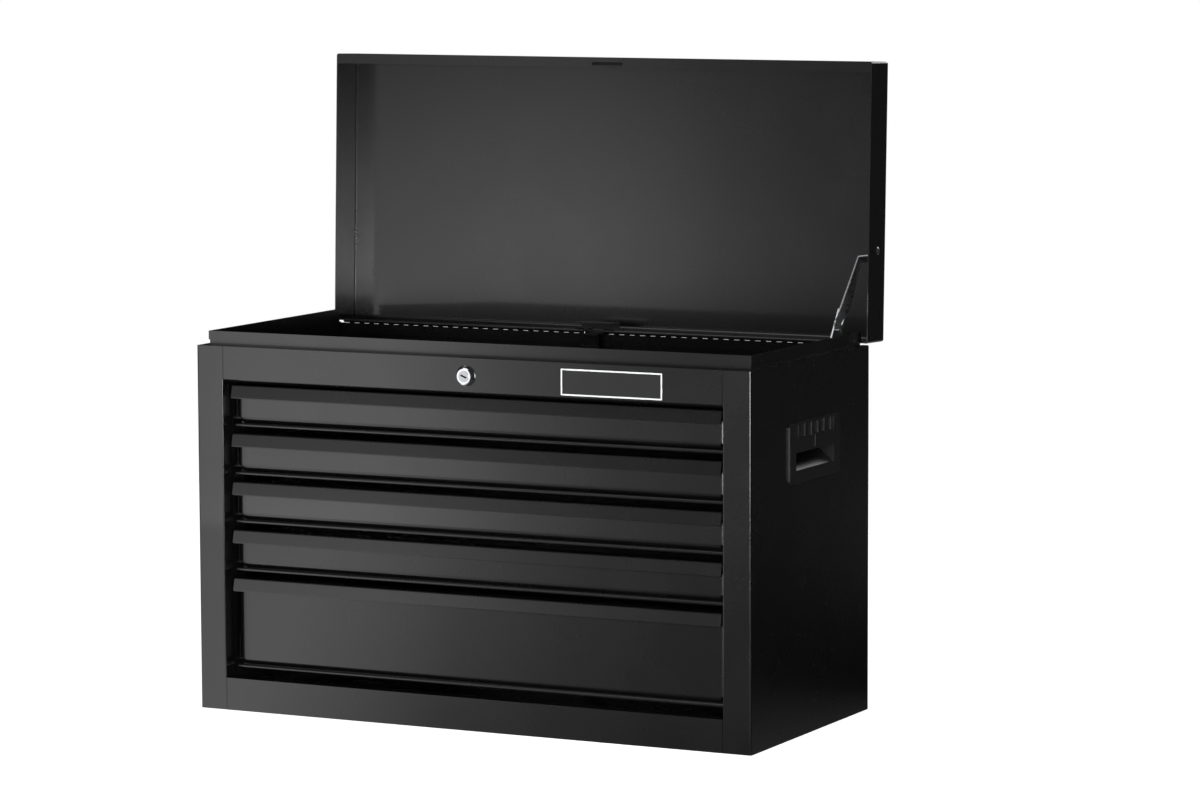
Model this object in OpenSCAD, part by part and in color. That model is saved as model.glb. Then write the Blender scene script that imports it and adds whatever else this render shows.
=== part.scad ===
// Five-drawer tool chest in sheet steel: four shallow drawers over one deep drawer, an open till
// under a lift-up lid, a piano hinge in two sections and a folding stay at the right-hand end.
// Drawn with the lid open and the drawers shut. Origin: centre of the case's bottom face.
// +X is to the right of someone facing the drawers, -Y is towards them, +Z is up. Millimetres.

/* [Case] */
// Width over the side panels
case_w = 660; // [600:1:760]
// Depth from the front face to the back panel
case_d = 302; // [296:1:360]
// Thickness of the case sheet
sheet = 1.0; // [0.8:0.1:1.2]
// Width of the stiles beside the drawers
stile_w = 32.5; // [29:0.5:40]
// Outside radius of the bend from the stile into the drawer opening
stile_bend_r = 1.6; // [1.2:0.1:3]
// Depth of the stile's return into the drawer opening
stile_return = 17; // [12:0.5:20]
// Height of the rail over the drawers
top_rail_h = 35.5; // [33:0.5:45]
// Height of the rail under the drawers
bottom_rail_h = 35.2; // [20:0.2:50]
// Outside radius of the bend at the case's front corners
corner_r = 2; // [1.5:0.1:4]
// Height of the bottom pan's turned-up flanges
pan_flange = 15; // [8:1:19]

/* [Till] */
// Height of the raised rim over the case's top ledge
rim_h = 14.7; // [10:0.1:20]
// Distance of the rim behind the front face
rim_setback = 14.5; // [13:0.1:16]
// Distance of the rim inside the side panels
rim_inset = 6.5; // [4:0.1:8]
// Height of the hem folded over the rim's top edge
hem_h = 9.5; // [5:0.5:12]
// Height of the till floor's top over the bottom edge of the top rail, negative when below
till_floor_rise = -5; // [-5.4:0.1:-4]
// Outside radius of the bend from the till's front wall into its floor
till_bend_r = 5; // [3:0.1:5]

/* [Drawers] */
// Height of a shallow drawer front
shallow_h = 46.1; // [44:0.1:60]
// Height of the deep drawer front
deep_h = 99.8; // [70:0.1:130]
// Gap between two drawer fronts
drawer_gap = 6.55; // [5:0.05:9]
// Gap over the top drawer
top_gap = 7.2; // [6:0.1:10]
// Gap under the bottom drawer
bottom_gap = 8.7; // [5:0.1:12]
// Gap between a drawer's face and the stile beside it
side_gap = 2.5; // [2:0.1:4]
// Distance that the pull and the bead stop short of the face's ends
pull_inset = 3; // [2:0.1:4]
// Thickness of the drawer sheet
drawer_sheet = 1.0; // [0.8:0.1:1.2]
// Distance of the drawer's flat face behind the case's front
face_recess = 20; // [18:0.1:24]
// Distance of the pull's lower edge behind the case's front
pull_recess = 7; // [4:0.1:8]
// Distance that the pull's top leans back from its lower edge
pull_lean = 3; // [1:0.1:4]
// Height of the pull's band
pull_h = 14.3; // [11:0.1:16]
// Thickness of the hem at the pull's lower edge
pull_hem = 2.2; // [1.6:0.1:3]
// Height of the doubled sheet at the pull's lower edge
pull_hem_h = 5; // [3:0.1:8]
// Radius of the face's vertical edges
face_edge_r = 8.7; // [4:0.1:8.8]
// Distance from the face's lower edge down to the foot of the bead
lip_h = 11; // [9:0.1:12]
// Radius with which the face's foot rolls back
foot_r = 7; // [4:0.1:8]
// Radius of the rolled bead along the drawer's foot
bead_r = 2.25; // [1.5:0.05:2.5]
// Distance of the bead behind the case's front
bead_recess = 16; // [14:0.1:18]
// Depth of the hollow behind the face, back to the drawer body
front_depth = 9; // [7:0.1:10]
// Room between the drawers and the back panel
back_room = 17; // [17:0.5:24]
// Distance of the drawer body's top edge below the top of its front
box_drop = 6.3; // [6:0.1:9]
// Height of the drawer body's floor over the foot of its front
box_lift = 2; // [0.5:0.1:3]
// Height of the rolled edge on the drawer body's sides
roll_h = 4; // [2:0.5:6]

/* [Slides] */
// Height of a drawer slide
slide_h = 27; // [24:0.5:30]
// Thickness of a drawer slide from the case to the drawer
slide_t = 12.7; // [12:0.1:14]
// Wall of the slide members
slide_wall = 1.2; // [1:0.1:1.4]
// Diameter of the balls
ball_d = 3; // [2.5:0.1:3.5]
// Clearance between a ball and what it runs on
ball_clear = 0.1; // [0.05:0.01:0.2]
// Length of the ball cage
cage_l = 62; // [50:1:64]
// Thickness of the cage
cage_t = 0.6; // [0.4:0.1:0.8]
// Spacing of the balls along a cage
ball_pitch = 24; // [16:1:26]
// Height of a slide's centre over the drawer body's floor
slide_rise = 19; // [17:0.5:21]

/* [Lock] */
// Distance of the lock's centre below the case's top ledge
lock_drop = 19; // [17:0.5:21]
// Diameter of the lock's flange
lock_flange_d = 22; // [18:0.5:26]
// Diameter of the lock's front face
lock_face_d = 16; // [15:0.5:17]
// Distance that the lock stands out of the rail
lock_proud = 5; // [3:0.1:6]
// Diameter of the lock's barrel
barrel_d = 15; // [14.4:0.1:16]
// Diameter of the key plug
plug_d = 12; // [10:0.1:12.8]
// Running clearance round the key plug
plug_clear = 0.05; // [0.02:0.01:0.1]
// Length of the hooked cam from the lock's centre to its tip
cam_l = 33; // [31:0.5:34]
// Thickness of the cam
cam_t = 1.5; // [1:0.1:1.8]
// Width of the cam's stem
cam_w = 9; // [6:0.5:10]
// Length of the slot that the cam swings through
cam_slot_l = 37.5; // [36.5:0.5:40]

/* [Lid] */
// Height of the lid
lid_h = 45.2; // [42:0.1:60]
// Distance that the lid overhangs the case's front
lid_overhang = 2.6; // [0:0.1:4]
// Distance of the lid's ends inside the case's ends
lid_inset = 0.5; // [0:0.1:1.5]
// Gap between the shut lid and the case's top ledge
lid_gap = 1.8; // [1:0.1:2]
// Outside radius of the bends along the lid's front and rear
lid_bend_r = 5; // [3:0.5:8]
// Outside radius of the bends along the lid's ends
lid_end_r = 2; // [1.5:0.1:4]
// Radius of the lid's upright corners
lid_corner_r = 2.5; // [1.5:0.1:4]
// Width of the return lip along the lid's front
lid_lip = 11; // [10.8:0.1:12]
// Angle that the lid opens to from shut
lid_open_angle = 92; // [90:0.5:95]

/* [Hinge] */
// Height of the hinge's axis over the case's top ledge
hinge_rise = 2; // [2:0.1:2.6]
// Outside diameter of the hinge's knuckles
knuckle_d = 5; // [4.4:0.1:5.2]
// Diameter of the hinge pin
hinge_pin_d = 2; // [1.6:0.1:2.4]
// Running clearance round the hinge pin
pin_clear = 0.05; // [0.02:0.01:0.1]
// Length along the axis of two neighbouring knuckles, one of each leaf
knuckle_pitch = 12.7; // [10:0.1:13]
// Least distance of the hinge's ends inside the case's ends
hinge_inset = 12.9; // [12.5:0.1:30]
// Gap between two knuckles
knuckle_gap = 0.2; // [0.1:0.05:0.5]
// Space between the hinge's two sections
hinge_space = 24.3; // [22:0.1:40]
// Thickness of the hinge's leaves
leaf_t = 1; // [0.8:0.1:1.2]
// Width of a leaf's flat
leaf_w = 12; // [10:0.5:16]

/* [Lid stay] */
// Distance of the arms inside the right-hand side panel's outer face
stay_inset = 15.6; // [15:0.1:17]
// Thickness of an arm
arm_t = 1.6; // [1.2:0.1:1.8]
// Diameter of the stay's pins
stay_pin_d = 5; // [4:0.1:5.5]
// Width of an arm in front of the line through its pivots
arm_front = 12.5; // [10:0.5:13]
// Width of an arm behind the line through its pivots
arm_back = 8; // [7.8:0.1:8.6]
// Sideways room for the elbow rivet in its slot
slot_room = 2.5; // [2.3:0.1:3]
// Distance that the elbow rivet runs along its slot
slot_run = 16.5; // [16.2:0.1:18]

/* [Handles] */
// Length of a side handle
handle_l = 129; // [115:1:140]
// Height of a side handle
handle_h = 63; // [60:1:72]
// Height of the handle's centre over the case's bottom
handle_z = 301; // [150:1:310]
// Distance of the handle's centre behind the middle of the case
handle_back = 5.5; // [0:0.5:8]
// Distance that the handle's rim stands out of the side panel
handle_proud = 2; // [1.5:0.1:3]
// Depth of the handle's pocket
pocket_depth = 26; // [20:0.5:27]
// Length of the handle's pocket
pocket_l = 98; // [85:1:104]
// Wall of the handle
handle_wall = 2; // [1.5:0.1:2.4]
// Ribs along the handle's grip
grip_ribs = 6; // [4:1:8]
// Spacing of the grip ribs
rib_pitch = 16.5; // [12:0.1:17]

/* [Lock bar] */
// Distance that the shut lid pushes the lock bar down
bar_travel = 5; // [4:0.1:5]
// Width of the lock bar
bar_w = 18; // [14:0.5:20]
// Thickness of the lock bar
bar_t = 1.5; // [1:0.1:2]
// Gap between the lock bar and its guides
bar_gap = 0.4; // [0.2:0.1:0.6]

/* [Nameplate] */
// Length of the bare nameplate
plate_l = 117; // [90:1:125]
// Height of the bare nameplate
plate_h = 28; // [24:0.5:29]
// Distance of the nameplate from the right-hand stile
plate_inset = 68; // [40:1:90]

/* [Hidden] */
$fn = 48;
over = 1;                 // how far a cutter runs past what it cuts
paint = "#1c1c1e";
zinc = "#b9bcc0";
slide_black = "#2e2f32";

// Case
half_w = case_w / 2;
front_y = -case_d / 2;
back_y = case_d / 2;
shallow_drawers = 4;
opening_x = half_w - stile_w;
opening_bottom = bottom_rail_h;
deep_bottom = opening_bottom + bottom_gap;
opening_top = deep_bottom + deep_h + shallow_drawers * (shallow_h + drawer_gap) + top_gap;
case_h = opening_top + top_rail_h;
corner_relief = corner_r + 1.2;         // notch of the bottom pan inside the rounded corners
rail_seam = 0.5;          // open seam between a rail and the stile beside it
rear_return = 11;         // width of the side panels' folded rear edges
back_panel_top = case_h - 1;
ledge_under = case_h - sheet;

// Till
rim_top = case_h + rim_h;
rim_front_y = front_y + rim_setback;
rim_x = half_w - rim_inset;
wall_front_y = rim_front_y + sheet;
wall_x = rim_x - sheet;
rim_back_y = back_y - 6;
floor_top = opening_top + till_floor_rise;
floor_back_y = back_y - 2 * sheet;

// Drawers
function drawer_h(n) = n > shallow_drawers ? deep_h : shallow_h;
function drawer_top(n) = opening_top - top_gap - (n - 1) * (shallow_h + drawer_gap);
function drawer_foot(n) = drawer_top(n) - drawer_h(n);
function box_floor(n) = drawer_foot(n) + box_lift;
function box_top(n) = drawer_top(n) - box_drop;
function slide_z(n) = box_floor(n) + slide_rise;
face_x = opening_x - side_gap;
front_x = face_x - pull_inset;
face_y = front_y + face_recess;
box_front_y = face_y + front_depth;
box_back_y = back_y - sheet - back_room;
box_x = opening_x - slide_t - 0.3;      // half width of the drawer body, seated on its slides

// Slides
slide_front_y = box_front_y + 1;
slide_back_y = box_back_y;
ball_x = opening_x - slide_t / 2;
ball_z = slide_h / 2 - slide_wall - ball_clear - ball_d / 2;
inner_half_h = ball_z - ball_d / 2 - ball_clear;
inner_edge_x = opening_x - 3.5;
outer_edge_x = box_x + 2;
cage_web_x = opening_x - 3;
upright_depth = 22;

// Lock
lock_z = case_h - lock_drop;
lock_tail_y = front_y + sheet + 2.3;    // rear end of the lock's barrel
cam_front_y = lock_tail_y + 0.2;
cam_back_y = cam_front_y + cam_t;
cam_slot_w = 3.6;
cam_slot_y = cam_front_y + cam_t / 2;
cam_slot_x0 = -cam_w / 2 - 1.5;
cam_hub_d = 14;
hook_reach = 12;          // the hook's nose ends this far to the left of the lock's centre
hook_under = 24.2;        // height of the hook's underside over the lock's centre

// Hinge and lid
hinge_off = 0.5;          // the leaves lie this far each side of the axis
hinge_y = back_y - sheet - leaf_t - hinge_off;
hinge_z = case_h + hinge_rise;
knuckle_r = knuckle_d / 2;
leaf_start = knuckle_r + 0.5;           // the flat of a leaf starts this far from the axis
leaf_root = sqrt(pow(knuckle_r, 2) - pow(hinge_off + leaf_t, 2)) - 0.2;
lid_bottom = case_h + lid_gap;
lid_top = lid_bottom + lid_h;
lid_rear_y = hinge_y + hinge_off;
lid_front_y = front_y - lid_overhang;
lid_x = half_w - lid_inset;
lid_relief_z = hinge_z + leaf_start + 0.6;
strike_t = 1.2;
strike_left = 18;         // the strike reaches this far past the slot's left end
strike_right = 8;         // and this far past its right end
channel_leg = 6;          // height of the front channel's leg on the lid's front flange
tab_y = back_y - 11;      // plane of the tab that pushes the lock bar down
tab_t = 1.2;
tab_half_w = 23.5;

// Lid stay: how far each pivot lies from the hinge axis while the lid is open
lid_pivot_back = 26.9;
lid_pivot_rise = 97.8;
elbow_front = 24.5;
elbow_rise = 39;
case_pivot_front = 77.5;
case_pivot_drop = 32.5;
stud_front = 43.8;
stud_rise = 17.9;
lid_pivot = [hinge_y + lid_pivot_back, hinge_z + lid_pivot_rise];
elbow = [hinge_y - elbow_front, hinge_z + elbow_rise];
case_pivot = [hinge_y - case_pivot_front, hinge_z - case_pivot_drop];
upper_x = half_w - stay_inset;          // inner face of the upper arm
lower_x = upper_x - 0.8 - arm_t;        // inner face of the lower arm
ear_x = lid_x - sheet - 0.3 - arm_t;    // inner face of the ear beside the lid's end
stay_pin_r = stay_pin_d / 2;
run_clear = 0.05;
stop_stud_r = 2;
stop_lug_r = 6;
stop_stud = [hinge_y - stud_front, hinge_z + stud_rise];
web_drop = 4.4;           // the arm's web starts this far below the lid pivot
web_forward = 18.5;       // and this far in front of it
web_w = 10.7;
web_tilt = 9;             // the web rises by this angle towards the lid's end

// Lock bar
bar_front_y = back_y - 9;
bar_foot_z = 22;
bar_top_z = case_h - 0.5;
pad_setback = 13.5;       // front of the bar's pad, from the case's back
pad_front_y = back_y - pad_setback;
tooth_gap = 0.8;          // room between a raised tooth and the drawer's back
tooth_reach = 4.6;        // distance that a tooth hangs below its arm
guide_leg = 1;
guide_half_w = bar_w / 2 + bar_gap + guide_leg;
guide_flange = 8.6;
spring_r = 4.4;
spring_wire_r = 0.6;
spring_turns = 7;
spring_y = bar_front_y - 1.75;
spring_gap = 0.3;
spring_post_h = 9;
strap_h = 14;
strap_drop = 8;

// ---------------------------------------------------------------- helpers

// Box between two corners
module slab(x0, x1, y0, y1, z0, z1) {
    translate([x0, y0, z0]) cube([x1 - x0, y1 - y0, z1 - z0]);
}

// Outline in the Y-Z plane drawn out along X
module along_x(x0, x1) {
    translate([x0, 0, 0]) rotate([90, 0, 90]) linear_extrude(x1 - x0) children();
}

// Outline in the X-Z plane drawn out along Y
module along_y(y0, y1) {
    translate([0, y1, 0]) rotate([90, 0, 0]) linear_extrude(y1 - y0) children();
}

// Quarter of a bent sheet: centre, outside radius, sheet and the quadrant's signs
module bend(centre, r, t, sx, sy) {
    translate(centre) intersection() {
        difference() {
            circle(r);
            circle(r - t);
        }
        translate([sx < 0 ? -r : 0, sy < 0 ? -r : 0]) square(r);
    }
}

// Rectangle with round corners
module rounded(x0, x1, y0, y1, r) {
    translate([x0 + r, y0]) square([x1 - x0 - 2 * r, y1 - y0]);
    translate([x0, y0 + r]) square([x1 - x0, y1 - y0 - 2 * r]);
    for (x = [x0 + r, x1 - r], y = [y0 + r, y1 - r]) translate([x, y]) circle(r);
}

// The lid's parts are drawn shut and turned open about the hinge
module lid_opened() {
    translate([0, hinge_y, hinge_z]) rotate([-lid_open_angle, 0, 0])
        translate([0, -hinge_y, -hinge_z]) children();
}

module both_sides() {
    children();
    mirror([1, 0, 0]) children();
}

// ---------------------------------------------------------------- case

// Right-hand side panel in plan: web, rounded front corner, stile and folded rear edge
module side_plan() {
    translate([half_w - sheet, front_y + corner_r]) square([sheet, case_d - sheet - corner_r]);
    bend([half_w - corner_r, front_y + corner_r], corner_r, sheet, 1, -1);
    translate([opening_x, front_y]) square([stile_w - corner_r, sheet]);
}

// Stile beside the drawers: its edge is bent back into the opening
module side_stile() {
    r = stile_bend_r;
    difference() {
        union() {
            linear_extrude(case_h) side_plan();
            slab(opening_x, opening_x + sheet, front_y, front_y + stile_return,
                 pan_flange + 1, floor_top - sheet);
            slab(opening_x, opening_x + sheet, front_y, wall_front_y, pan_flange + 1, ledge_under);
        }
        slab(opening_x - over, opening_x + r, front_y - over, front_y + r,
             opening_bottom, opening_top);
    }
    translate([0, 0, opening_bottom]) linear_extrude(opening_top - opening_bottom)
        bend([opening_x + r, front_y + r], r, sheet, -1, -1);
}

module side_panel() {
    difference() {
        union() {
            side_stile();
            slab(half_w - sheet - rear_return, half_w - sheet, back_y - 2 * sheet, back_y - sheet,
                 pan_flange + 1, back_panel_top);
            slab(wall_x, half_w - sheet, front_y + corner_r, back_y - sheet, ledge_under, case_h);
            slab(opening_x, half_w - corner_r, front_y + sheet, wall_front_y, ledge_under, case_h);
            translate([half_w - corner_r, front_y + corner_r, ledge_under])
                cylinder(r = corner_r, h = sheet);
        }
        slab(half_w - sheet - over, half_w + over,
             handle_back - pocket_l / 2 - handle_wall - 0.3,
             handle_back + pocket_l / 2 + handle_wall + 0.3,
             handle_z + pocket_low - 0.3, handle_z + pocket_high + 0.3);
    }
}
module side_panel_right() { color(paint) side_panel(); }
module side_panel_left() { color(paint) mirror([1, 0, 0]) side_panel(); }

// Plain sheet; a tongue fills the space between the two hinge sections up to the hinge axis
module back_panel() {
    tongue_x = hinge_space / 2 - rail_seam;
    color(paint) {
        slab(-half_w, half_w, back_y - sheet, back_y, 0, back_panel_top);
        slab(-tongue_x, tongue_x, back_y - sheet, back_y, back_panel_top - over, hinge_z);
    }
}

module bottom_pan() {
    color(paint) difference() {
        slab(-half_w + sheet, half_w - sheet, front_y + sheet, back_y - sheet, 0, pan_flange);
        slab(-half_w + 2 * sheet, half_w - 2 * sheet, front_y + 2 * sheet, back_y - 2 * sheet,
             sheet, pan_flange + over);
        both_sides() slab(half_w - corner_relief, half_w, front_y, front_y + corner_relief,
                          -over, pan_flange + over);
    }
}

module top_rail() {
    rail_x = opening_x - rail_seam;
    color(paint) difference() {
        union() {
            slab(-rail_x, rail_x, front_y, front_y + sheet, opening_top, case_h);
            slab(-rail_x, rail_x, front_y, wall_front_y, ledge_under, case_h);
            slab(-rail_x, rail_x, front_y, wall_front_y, opening_top, opening_top + sheet);
        }
        translate([0, front_y - over, lock_z]) rotate([-90, 0, 0])
            cylinder(d = barrel_d + 0.4, h = sheet + 2 * over);
        slab(cam_slot_x0, cam_slot_x0 + cam_slot_l, cam_slot_y - cam_slot_w / 2 - 0.5,
             cam_slot_y + cam_slot_w / 2 + 0.5, ledge_under - over, case_h + over);
    }
}

module bottom_rail() {
    rail_x = opening_x - rail_seam;
    color(paint) {
        slab(-rail_x, rail_x, front_y, front_y + sheet, 0, bottom_rail_h);
        slab(-rail_x, rail_x, front_y, front_y + stile_return, bottom_rail_h - sheet, bottom_rail_h);
    }
}

// Three-sided wall round the till with its top edge folded outwards
module till_rim() {
    hem_z = rim_top - hem_h;
    bend_z = floor_top - sheet + till_bend_r;
    color(paint) {
        slab(-wall_x, wall_x, wall_front_y, wall_front_y + sheet, bend_z, rim_top);
        along_x(-wall_x, wall_x)
            bend([wall_front_y + till_bend_r, bend_z], till_bend_r, sheet, -1, -1);
        slab(-rim_x, rim_x, rim_front_y, wall_front_y, hem_z, rim_top);
        both_sides() {
            slab(wall_x - sheet, wall_x, wall_front_y, rim_back_y, floor_top, rim_top);
            slab(wall_x, rim_x, rim_front_y, rim_back_y, hem_z, rim_top);
        }
    }
}

module till_floor() {
    color(paint) difference() {
        slab(-wall_x, wall_x, wall_front_y + till_bend_r, floor_back_y, floor_top - sheet, floor_top);
        slab(-bar_w / 2 - 2, bar_w / 2 + 2, bar_front_y - 6, back_y,
             floor_top - sheet - over, floor_top + over);
    }
}

// Channel that carries the slides, closed towards the drawers
module slide_upright(y0) {
    difference() {
        slab(opening_x, half_w - sheet, y0, y0 + upright_depth, pan_flange + 1, floor_top - sheet);
        slab(opening_x + sheet, half_w, y0 + sheet, y0 + upright_depth - sheet,
             pan_flange, floor_top);
    }
}
module slide_uprights() {
    color(paint) {
        slide_upright(slide_front_y - 8);
        slide_upright(slide_back_y - upright_depth);
    }
}
module slide_upright_right() { slide_uprights(); }
module slide_upright_left() { mirror([1, 0, 0]) slide_uprights(); }

// Bare plate with a raised border
module nameplate() {
    plate_t = 1;
    border = 1.6;
    plate_x = opening_x - plate_inset - plate_l / 2;
    plate_z = lock_z - 1;
    color(zinc) difference() {
        along_y(front_y - plate_t, front_y) translate([plate_x, plate_z])
            rounded(-plate_l / 2, plate_l / 2, -plate_h / 2, plate_h / 2, 0.8);
        along_y(front_y - plate_t - over, front_y - plate_t + 0.4) translate([plate_x, plate_z])
            rounded(-plate_l / 2 + border, plate_l / 2 - border,
                    -plate_h / 2 + border, plate_h / 2 - border, 0.4);
    }
}

// ---------------------------------------------------------------- lock

// Turned parts of the lock stand along -Y from the rail's front face
module on_lock_axis() {
    translate([0, front_y, lock_z]) rotate([90, 0, 0]) children();
}

module lock_housing() {
    tail = front_y - lock_tail_y;
    color("silver") on_lock_axis() rotate_extrude() difference() {
        union() {
            translate([0, tail]) square([barrel_d / 2, -tail + over]);
            polygon([[0, 0], [lock_flange_d / 2, 0], [lock_flange_d / 2, lock_proud * 0.25],
                     [lock_face_d / 2 + 1, lock_proud * 0.85], [lock_face_d / 2, lock_proud],
                     [0, lock_proud]]);
        }
        translate([0, tail - over]) square([plug_d / 2 + plug_clear, -tail + lock_proud + 2 * over]);
    }
}

// Spring clip that holds the barrel behind the rail
module lock_clip() {
    color(zinc) translate([0, front_y + sheet, lock_z]) rotate([-90, 0, 0]) difference() {
        cylinder(d = barrel_d + 7, h = 1);
        translate([0, 0, -over]) cylinder(d = barrel_d + 0.2, h = 1 + 2 * over);
        translate([-2, -barrel_d, -over]) cube([4, barrel_d, 1 + 2 * over]);
    }
}

// Key plug: keyway in front, rivet through the cam behind
module lock_plug() {
    tail = front_y - lock_tail_y;
    stem = front_y - cam_back_y;
    keyway = [7.5, 1.8, 6.5];
    color("silver") on_lock_axis() difference() {
        union() {
            translate([0, 0, tail]) cylinder(d = plug_d, h = lock_proud + 0.3 - tail);
            translate([0, 0, stem - 1.2]) cylinder(d = 5, h = tail - stem + 1.2 + over);
            translate([0, 0, stem - 2.4]) cylinder(d = 7.5, h = 2.4);
        }
        rotate([0, 0, -22])
            translate([-keyway.x / 2, -keyway.y / 2, lock_proud + 0.3 - keyway.z])
                cube([keyway.x, keyway.y, keyway.z + over]);
    }
}

// Hooked cam, drawn at rest: the stem points to the right, a quarter turn lifts it to the lid
module lock_cam() {
    tip_w = 5;
    color(zinc) translate([0, 0, lock_z]) rotate([0, 90, 0]) along_y(cam_front_y, cam_back_y)
        difference() {
            union() {
                circle(d = cam_hub_d);
                translate([-cam_w / 2, 0]) square([cam_w, cam_l]);
                translate([-hook_reach, hook_under]) square([hook_reach, cam_l - hook_under]);
                translate([-hook_reach, cam_l - tip_w / 2]) circle(d = tip_w);
                translate([-hook_reach, hook_under + tip_w / 4]) circle(d = tip_w / 2);
            }
            circle(d = 5.1);
        }
}

// ---------------------------------------------------------------- side handles

pocket_low = -22;         // lowest point of the pocket's shell from the handle's centre
pocket_high = 21.5;       // highest point of the pocket's shell from the handle's centre
mouth_low = -18.5;
mouth_high = 0;
lip_top = 16;             // the ribbed grip starts here, over the smooth lip
grip_t = 5;

// Hand hold moulded into one piece: rim, pocket with a sloping scoop, and a grip to hook into
module handle() {
    deep = -pocket_depth;
    roof = pocket_high - handle_wall;
    scoop_end = 4;
    rib_t = 1.2;
    rib_gap_depth = 1.4;
    translate([half_w, handle_back, handle_z]) color("#232325") {
        difference() {
            union() {
                rotate([90, 0, 90]) linear_extrude(handle_proud)
                    rounded(-handle_l / 2, handle_l / 2, -handle_h / 2, handle_h / 2, 4);
                along_y(-pocket_l / 2 - handle_wall, pocket_l / 2 + handle_wall)
                    polygon([[0, pocket_low], [0, pocket_high],
                             [deep - handle_wall, pocket_high],
                             [deep - handle_wall, scoop_end - 1.5 * handle_wall]]);
            }
            along_y(-pocket_l / 2, pocket_l / 2) difference() {
                polygon([[handle_proud + over, mouth_low], [0, mouth_low],
                         [deep, scoop_end], [deep, roof], [-grip_t, roof],
                         [-grip_t, mouth_high + 2.5], [handle_proud + over, mouth_high]]);
                translate([-grip_t + 2.5, mouth_high + 2.5]) circle(2.5);
            }
            slab(handle_proud - rib_gap_depth, handle_proud + over, -pocket_l / 2, pocket_l / 2,
                 lip_top, handle_h / 2 - 1.8);
        }
        for (i = [0 : grip_ribs - 1])
            translate([handle_proud - rib_gap_depth,
                       (i - (grip_ribs - 1) / 2) * rib_pitch - rib_t / 2, lip_top])
                cube([rib_gap_depth, rib_t, handle_h / 2 - 1.8 - lip_top]);
        translate([handle_proud, -rib_t / 2, mouth_high + 3]) cube([0.8, rib_t, lip_top - 4]);
    }
}
module handle_right() { handle(); }
module handle_left() { mirror([1, 0, 0]) handle(); }

// ---------------------------------------------------------------- lock bar

// Strip behind the drawers with a tooth over each drawer's back, raised while the lid is open
module lock_bar() {
    half = bar_w / 2;
    tooth_half = half - 2;
    color(zinc) {
        slab(-half, half, bar_front_y, bar_front_y + bar_t, bar_foot_z, bar_top_z);
        slab(-half, half, pad_front_y, bar_front_y + bar_t, bar_top_z - bar_t, bar_top_z);
        slab(-half, half, spring_y - 6, spring_y + 6, bar_foot_z - bar_t, bar_foot_z);
        for (n = [1 : shallow_drawers + 1]) {
            arm_z = box_top(n) + tooth_gap + tooth_reach;
            tip_y = box_back_y - 6;
            slab(-tooth_half, tooth_half, tip_y, bar_front_y, arm_z, arm_z + bar_t);
            slab(-tooth_half, tooth_half, tip_y, tip_y + bar_t, arm_z - tooth_reach, arm_z);
        }
    }
}

// Guides: a channel in the till, two straps behind the drawers and the spring's post
module guide_strap(z0, z1) {
    web_y = bar_front_y - bar_gap;
    slab(-guide_half_w, guide_half_w, web_y - guide_leg, web_y, z0, z1);
    both_sides() {
        slab(guide_half_w - guide_leg, guide_half_w, web_y, back_y - sheet, z0, z1);
        slab(guide_half_w, guide_half_w + guide_flange, back_y - 2 * sheet, back_y - sheet, z0, z1);
    }
}
module lock_bar_guide() {
    low_strap = box_floor(5) + slide_rise;
    mid_strap = box_floor(3) + slide_rise - strap_drop;
    color(paint) {
        guide_strap(floor_top, hinge_z - leaf_start - leaf_w - 0.5);
        guide_strap(low_strap, low_strap + strap_h);
        guide_strap(mid_strap, mid_strap + strap_h);
        translate([0, spring_y, sheet]) cylinder(r = spring_r - 2 * spring_wire_r, h = spring_post_h);
    }
}

// Compression spring under the bar's foot, as one unbroken tube
module lock_bar_spring() {
    rings = 8;
    sides = 6;
    count = spring_turns * rings;
    low = sheet + spring_gap + spring_wire_r;
    high = bar_foot_z - bar_t - spring_gap - spring_wire_r;
    line = [for (i = [0 : count])
        [spring_r * cos(360 * i / rings), spring_r * sin(360 * i / rings),
         low + (high - low) * i / count]];
    least_gap = min([for (i = [0 : count], j = [i + rings / 2 : count])
        norm(line[j] - line[i])]) - 2 * spring_wire_r;
    echo(least_gap_between_spring_turns = least_gap);
    points = [for (i = [0 : count], k = [0 : sides - 1])
        let (turn = 360 * i / rings, a = 360 * k / sides,
             r = spring_r + spring_wire_r * cos(a))
        [r * cos(turn), spring_y + r * sin(turn),
         low + (high - low) * i / count + spring_wire_r * sin(a)]];
    faces = concat(
        [[for (k = [0 : sides - 1]) k]],
        [for (i = [0 : count - 1], k = [0 : sides - 1])
            let (k2 = (k + 1) % sides, a = i * sides, b = a + sides)
            each [[a + k, b + k, a + k2], [a + k2, b + k, b + k2]]],
        [[for (k = [sides - 1 : -1 : 0]) count * sides + k]]);
    color("silver") polyhedron(points, faces);
}

// ---------------------------------------------------------------- lid

// Solid of the shut lid, drawn in by d from its outside and open below
module lid_block(d) {
    below = 2 * lid_bend_r;
    intersection() {
        along_y(lid_front_y + d, lid_rear_y - d)
            rounded(-lid_x + d, lid_x - d, lid_bottom - below, lid_top - d, lid_end_r - d);
        along_x(-lid_x + d, lid_x - d) rounded(lid_front_y + d, lid_rear_y - d,
                                               lid_bottom - below, lid_top - d, lid_bend_r - d);
        translate([0, 0, lid_bottom - (d > 0 ? over : 0)]) linear_extrude(lid_h + over)
            rounded(-lid_x + d, lid_x - d, lid_front_y + d, lid_rear_y - d, lid_corner_r - d);
    }
}

module lid_pan() {
    color(paint) lid_opened() difference() {
        lid_block(0);
        lid_block(sheet);
        slab(-lid_x + lid_corner_r, lid_x - lid_corner_r, lid_rear_y - sheet - over,
             lid_rear_y + over, lid_bottom - over, lid_relief_z);
        lid_closed_again() translate([lid_x - sheet - over, lid_pivot.x, lid_pivot.y])
            rotate([0, 90, 0]) cylinder(r = stay_pin_r + run_clear, h = sheet + 2 * over);
    }
}

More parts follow.
